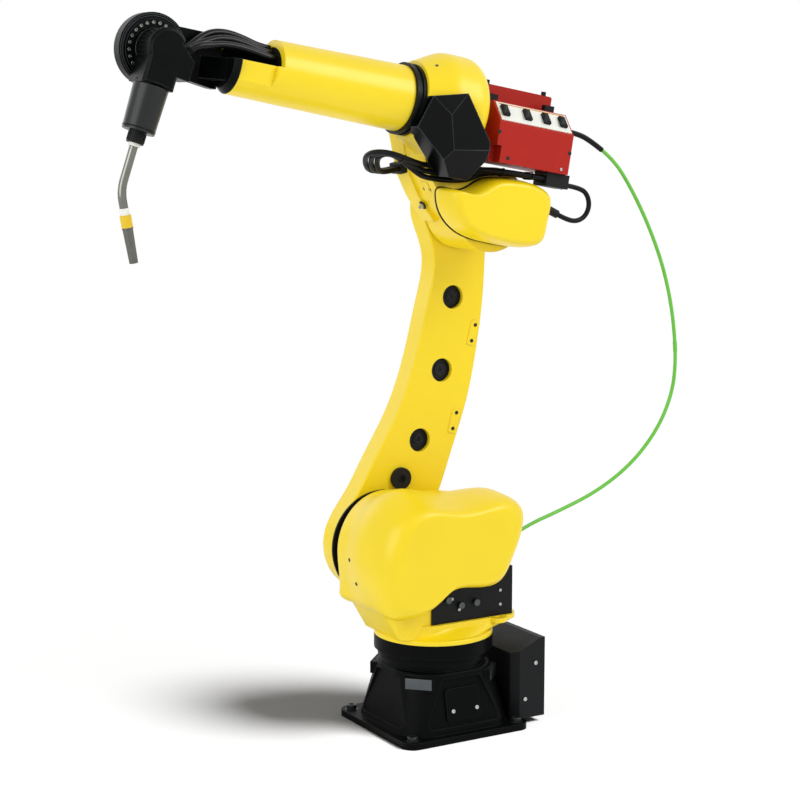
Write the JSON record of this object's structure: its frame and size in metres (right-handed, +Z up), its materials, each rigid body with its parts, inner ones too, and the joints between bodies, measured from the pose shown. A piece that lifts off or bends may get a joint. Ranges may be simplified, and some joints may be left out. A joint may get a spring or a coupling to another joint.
{
  "type": "industrial robot arm",
  "caption": "Articulated welding robot arm on a bolted base, with swivel turret, curved lower arm, elbow with wire feeder, tubular forearm, one-sided wrist and bent torch",
  "frame": {"origin": "on the floor under the swivel axis, at the centre of the base's bolt pattern", "axes": "+X is the robot's front, +Y its left, +Z up"},
  "size_m": [1.4898, 0.3695, 1.6797],
  "materials": {
    "yellow_paint": "smooth yellow enamel on castings",
    "black_paint": "satin black enamel on castings",
    "black_plastic": "moulded black plastic",
    "black_rubber": "black rubber",
    "red_paint": "red powder coat",
    "white_panel": "pale sheet",
    "bare_steel": "bare metal",
    "white_insulator": "white insulating plastic",
    "green_plastic": "bright green ribbed sleeve"
  },
  "bodies": {
    "base": {"base_casting": "black_paint", "base_side_covers": "black_paint", "connector_box": "black_paint", "connector_box_plugs": "black_plastic", "swivel_collar": "black_paint"},
    "turret": {"turret_casting": "yellow_paint", "shoulder_cowl": "yellow_paint", "shoulder_reducer": "black_paint", "turret_panel": "black_paint", "panel_fittings": "bare_steel", "conduit_gland": "black_plastic", "wire_conduit_lower": "green_plastic"},
    "lower_arm": {"lower_arm": "yellow_paint", "arm_hole_caps": "black_plastic", "arm_plug": "black_plastic"},
    "elbow": {"elbow_casting": "yellow_paint", "elbow_reducer": "black_paint", "elbow_side_cover": "black_plastic", "elbow_motor_cover": "yellow_paint", "forearm_seal": "black_rubber", "feeder_body": "red_paint", "feeder_back_plate": "red_paint", "feeder_strip": "white_panel", "feeder_latches": "black_plastic", "feeder_knobs": "black_plastic", "feeder_bracket": "bare_steel", "conduit_boot": "black_rubber", "cable_connectors": "black_plastic", "elbow_cables": "black_rubber", "wire_conduit_upper": "green_plastic"},
    "forearm": {"forearm_tube": "yellow_paint", "wrist_arm": "black_paint", "wrist_bolt_ring": "bare_steel", "wrist_hose_far": "black_rubber", "wrist_hose_middle": "black_rubber", "wrist_hose_near": "black_rubber"},
    "wrist": {"wrist_housing": "black_paint"},
    "torch": {"torch_body": "black_plastic", "torch_collar": "black_plastic", "neck_insulator": "white_insulator", "torch_neck": "bare_steel", "tip_insulator": "white_insulator", "torch_band": "yellow_paint", "torch_nozzle": "bare_steel"}
  },
  "joints": [
    {"name": "swivel", "type": "hinge", "parent": "base", "child": "turret", "pos_m": [0, 0, 0.226], "axis": [0, 0, 1], "range_deg": [-170, 170]},
    {"name": "shoulder", "type": "hinge", "parent": "turret", "child": "lower_arm", "pos_m": [0.075, -0.127, 0.425], "axis": [0, 1, 0], "range_deg": [-60, 70], "deforming": ["wire_conduit_lower"]},
    {"name": "elbow", "type": "hinge", "parent": "lower_arm", "child": "elbow", "pos_m": [-0.14948, -0.122, 1.23445], "axis": [0, -1, 0], "range_deg": [-60, 80], "deforming": ["wire_conduit_upper"]},
    {"name": "forearm_roll", "type": "hinge", "parent": "elbow", "child": "forearm", "pos_m": [0.09681, 0, 1.49619], "axis": [0.9848, 0, 0.1736], "range_deg": [-200, 200]},
    {"name": "wrist_bend", "type": "hinge", "parent": "forearm", "child": "wrist", "pos_m": [0.68376, -0.046, 1.59969], "axis": [0, -1, 0], "range_deg": [-58, 221], "deforming": ["wrist_hose_far", "wrist_hose_middle", "wrist_hose_near"]},
    {"name": "torch_roll", "type": "hinge", "parent": "wrist", "child": "torch", "pos_m": [0.71083, 0, 1.52017], "axis": [0.3223, 0, -0.9466], "range_deg": [-270, 270]}
  ]
}
